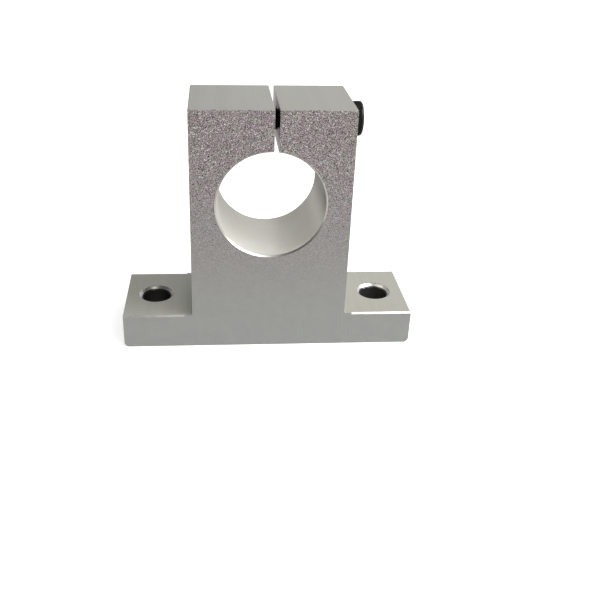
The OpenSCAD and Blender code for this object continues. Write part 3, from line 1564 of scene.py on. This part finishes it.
    def refine(self, piece: bpy.types.Object) -> None:
        """Eases the socket's edges and marks what handling has rubbed.

        Args:
            piece: The carved screw.
        """
        bm = bmesh.new()
        bm.from_mesh(piece.data)
        bmesh.ops.remove_doubles(bm, verts=bm.verts, dist=self.carving_weld)
        bmesh.ops.dissolve_degenerate(bm, edges=bm.edges, dist=WELD)
        for face in ease_edges(bm, self.socket_easing, 1, self.at_socket_rim):
            face.material_index = ScrewZone.RUBBED
        for face in bm.faces:
            if self.at_head_rim(face.calc_center_median()):
                face.material_index = ScrewZone.RUBBED
        bm.to_mesh(piece.data)
        bm.free()

    def at_socket_rim(self, middle: Vector) -> bool:
        """Says whether a point lies on the rim of the hexagon socket."""
        height, radius = self.own_place(middle)
        return height > self.head_h - self.rubbed_h and radius < self.socket_af * self.socket_reach

    def at_head_rim(self, middle: Vector) -> bool:
        """Says whether a point lies on the rounded outer rim of the head."""
        height, radius = self.own_place(middle)
        return height > self.head_h - self.head_chamfer and radius > self.head_r - self.rubbed_w

    def own_place(self, point: Vector) -> tuple[float, float]:
        """Finds a point's height over the seat and its distance from the screw's axis."""
        own = self.place().inverted() @ point
        return own.z, math.hypot(own.x, own.y)

    def add_thread(self, piece: bpy.types.Object) -> None:
        """Adds the thread's ridge to the screw's mesh and chamfers it at the tip.

        Args:
            piece: The screw.
        """
        length = self.shank_l - self.plain_l - 2 * self.thread_gap
        ridge = Thread(self.core_r, self.thread_r, -self.shank_l + self.thread_gap, length)
        swept = ridge.build(Matrix.Identity(4))
        for corner in swept.verts:
            limit = self.thread_r - self.tip_chamfer + (corner.co.z + self.shank_l)
            radius = math.hypot(corner.co.x, corner.co.y)
            if radius > limit:
                corner.co.xy *= max(limit, self.core_r - self.thread_sunk) / radius
        bmesh.ops.transform(swept, matrix=self.place(), verts=swept.verts)
        added = bpy.data.meshes.new("thread")
        swept.to_mesh(added)
        swept.free()
        whole = bmesh.new()
        whole.from_mesh(piece.data)
        whole.from_mesh(added)
        whole.to_mesh(piece.data)
        whole.free()
        bpy.data.meshes.remove(added)


@dataclass
class TappedThread:
    """The thread that shows in the tapped hole beyond the screw's tip."""

    block: Block
    screw: ClampScrew
    gap: float = 0.4 * MM
    clearance: float = 0.05 * MM
    half_root: float = 0.6 * MM

    def build(self) -> bpy.types.Object:
        """Builds and dresses the thread.

        Returns:
            The finished piece.
        """
        mouth = -self.block.half_upright + self.block.tap_chamfer
        tip = self.screw.seat_x - self.screw.shank_l
        length = tip - self.gap - mouth - 2 * self.half_root
        crest_r = self.screw.core_r + self.clearance
        thread = Thread(self.block.tap_r, crest_r, self.half_root, length)
        place = along_x(self.block.on_screw_axis(mouth))
        piece = new_object("tapped_thread", thread.build(place))
        shade_smoothly(piece)
        piece.data.materials.append(bpy.data.materials[BLOCK_FINISHES[Zone.TAPPED].name])
        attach(piece, "block")
        return piece


# ---------------------------------------------------------------------------
# Studio
# ---------------------------------------------------------------------------


@dataclass(frozen=True)
class SoftBox:
    """A square studio lamp aimed at the object."""

    name: str
    place: tuple[float, float, float]
    size: float
    power: float

    def build(self, aim: Vector) -> None:
        """Puts the lamp into the scene.

        Args:
            aim: The point it faces.
        """
        lamp = bpy.data.lights.new(self.name, "AREA")
        lamp.size = self.size
        lamp.energy = self.power
        thing = bpy.data.objects.new(self.name, lamp)
        thing.location = self.place
        towards = aim - Vector(self.place)
        thing.rotation_euler = towards.to_track_quat("-Z", "Y").to_euler()
        bpy.context.scene.collection.objects.link(thing)


@dataclass
class Studio:
    """Pale floor, soft lamps, grey surroundings and the camera."""

    aim: Vector = field(default_factory=lambda: Vector((0.00079, -0.00673, 0.03444)))
    distance: float = 0.30306
    azimuth: float = math.radians(4.472)
    elevation: float = math.radians(26.125)
    roll: float = math.radians(1.420)
    lens: float = 45.953
    sensor: float = 36.0
    shift: tuple[float, float] = (0.05, -0.075)
    clip: tuple[float, float] = (0.01, 50.0)
    lamp_aim: Vector = field(default_factory=lambda: Vector((0, 0, 0.045)))
    floor_r: float = 6.0
    floor_steps: int = 96
    floor_albedo: float = 0.62
    # White added to the floor close to the object, its share in mirrored rays, and how far
    # from the object the floor begins and ends to fade into full white
    floor_glow: float = 0.75
    floor_gloss: float = 0.20
    floor_fade: tuple[float, float] = (0.25, 1.2)
    bright: float = 0.68
    dark: float = 0.095
    # How much right and behind count in how pale the surroundings are, and from where to where
    bright_side: tuple[float, float] = (0.55, 0.75)
    sweep: tuple[float, float] = (-0.8, 0.9)
    # Light left straight above, and the rise of direction over which it dims
    zenith: float = 0.55
    zenith_range: tuple[float, float] = (0.35, 1.0)
    lamps: Sequence[SoftBox] = (
        SoftBox("key", (1.90, -0.60, 1.90), 1.50, 99.0),
        SoftBox("front", (0.90, -1.90, 1.90), 1.50, 34.0),
        SoftBox("back", (0.42, 0.75, 0.68), 1.30, 1.7),
    )

    def build(self) -> None:
        """Builds the whole studio."""
        self.build_camera()
        self.build_floor()
        self.build_world()
        for lamp in self.lamps:
            lamp.build(self.lamp_aim)
        bpy.context.scene.view_settings.view_transform = "Standard"

    def build_camera(self) -> None:
        """Puts up the camera and makes it the scene's."""
        data = bpy.data.cameras.new("camera")
        data.lens = self.lens
        data.sensor_width = self.sensor
        data.shift_x, data.shift_y = self.shift
        data.clip_start, data.clip_end = self.clip
        camera = bpy.data.objects.new("camera", data)
        level = math.cos(self.elevation)
        forward = Vector(
            (
                math.sin(self.azimuth) * level,
                math.cos(self.azimuth) * level,
                -math.sin(self.elevation),
            )
        )
        upright = forward.to_track_quat("-Z", "Y").to_matrix().to_4x4()
        roll = Matrix.Rotation(self.roll, 4, "Z")
        camera.matrix_world = (
            Matrix.Translation(self.aim - forward * self.distance) @ upright @ roll
        )
        bpy.context.scene.collection.objects.link(camera)
        bpy.context.scene.camera = camera

    def build_floor(self) -> None:
        """Lays the floor, which glows to the camera, whitest far out, and keeps its shadow."""
        bm = bmesh.new()
        bmesh.ops.create_circle(bm, cap_ends=True, segments=self.floor_steps, radius=self.floor_r)
        floor = new_object("floor", bm)
        material = bpy.data.materials.new("floor")
        material.use_nodes = True
        tree = NodeTree(material.node_tree)
        nodes = material.node_tree.nodes
        shader = nodes["Principled BSDF"]
        shader.inputs["Base Color"].default_value = (*(self.floor_albedo,) * 3, 1)
        shader.inputs["Roughness"].default_value = 1.0
        shader.inputs["Specular IOR Level"].default_value = 0.0
        path = tree.add("LightPath")
        seen = tree.math("MAXIMUM", path.outputs["Is Camera Ray"], path.outputs["Is Transmission Ray"])
        mirrored = tree.math("MULTIPLY", path.outputs["Is Glossy Ray"], self.floor_gloss)
        glow = tree.add("Emission")
        share = tree.math("MAXIMUM", seen, mirrored)
        reach = tree.add("VectorMath", operation="LENGTH")
        tree.feed(reach.inputs[0], tree.add("TexCoord").outputs["Object"])
        away = tree.remap(reach.outputs["Value"], *self.floor_fade)
        level = tree.math("MULTIPLY_ADD", away, 1 - self.floor_glow, self.floor_glow)
        tree.feed(glow.inputs["Strength"], tree.math("MULTIPLY", share, level))
        both = tree.add("AddShader")
        tree.feed(both.inputs[0], shader.outputs[0])
        tree.feed(both.inputs[1], glow.outputs[0])
        tree.feed(nodes["Material Output"].inputs["Surface"], both.outputs[0])
        material.cycles.emission_sampling = "NONE"
        floor.data.materials.append(material)

    def build_world(self) -> None:
        """Makes the surroundings grey, paler behind and to the right, and white to the camera."""
        world = bpy.data.worlds.new("surroundings")
        bpy.context.scene.world = world
        world.use_nodes = True
        tree = NodeTree(world.node_tree)
        split = tree.add("SeparateXYZ")
        tree.feed(split.inputs[0], tree.add("TexCoord").outputs["Generated"])
        right_share, behind_share = self.bright_side
        behind = tree.math("MULTIPLY", split.outputs["Y"], behind_share)
        around = tree.math("MULTIPLY_ADD", split.outputs["X"], right_share, behind)
        paleness = tree.remap(around, *self.sweep)
        shade = tree.blend(paleness, (self.dark,) * 3, (self.bright,) * 3)
        overhead = tree.remap(split.outputs["Z"], *self.zenith_range)
        level = tree.math("MULTIPLY_ADD", overhead, self.zenith - 1, 1)
        dimmed = tree.add("VectorMath", operation="SCALE")
        tree.feed(dimmed.inputs[0], shade)
        tree.feed(dimmed.inputs["Scale"], level)
        seen = tree.add("LightPath").outputs["Is Camera Ray"]
        background = world.node_tree.nodes["Background"]
        tree.feed(background.inputs["Color"], tree.blend(seen, dimmed.outputs[0], (1, 1, 1)))
        background.inputs["Strength"].default_value = 1.0


# ---------------------------------------------------------------------------
# Making
# ---------------------------------------------------------------------------


def report(piece: bpy.types.Object) -> None:
    """Logs a piece's name and size.

    Args:
        piece: The finished piece.
    """
    sides = [round(side / MM, 1) for side in piece.dimensions]
    log.info("%s: %d faces, %s mm", piece.name, len(piece.data.polygons), sides)


def main() -> None:
    """Builds the studio and every piece."""
    logging.basicConfig(level=logging.INFO, format="%(message)s")
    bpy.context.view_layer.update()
    Studio().build()
    block = Block()
    report(block.build())
    screw = ClampScrew()
    report(screw.build())
    report(TappedThread(block, screw).build())


if __name__ == "__main__":
    main()
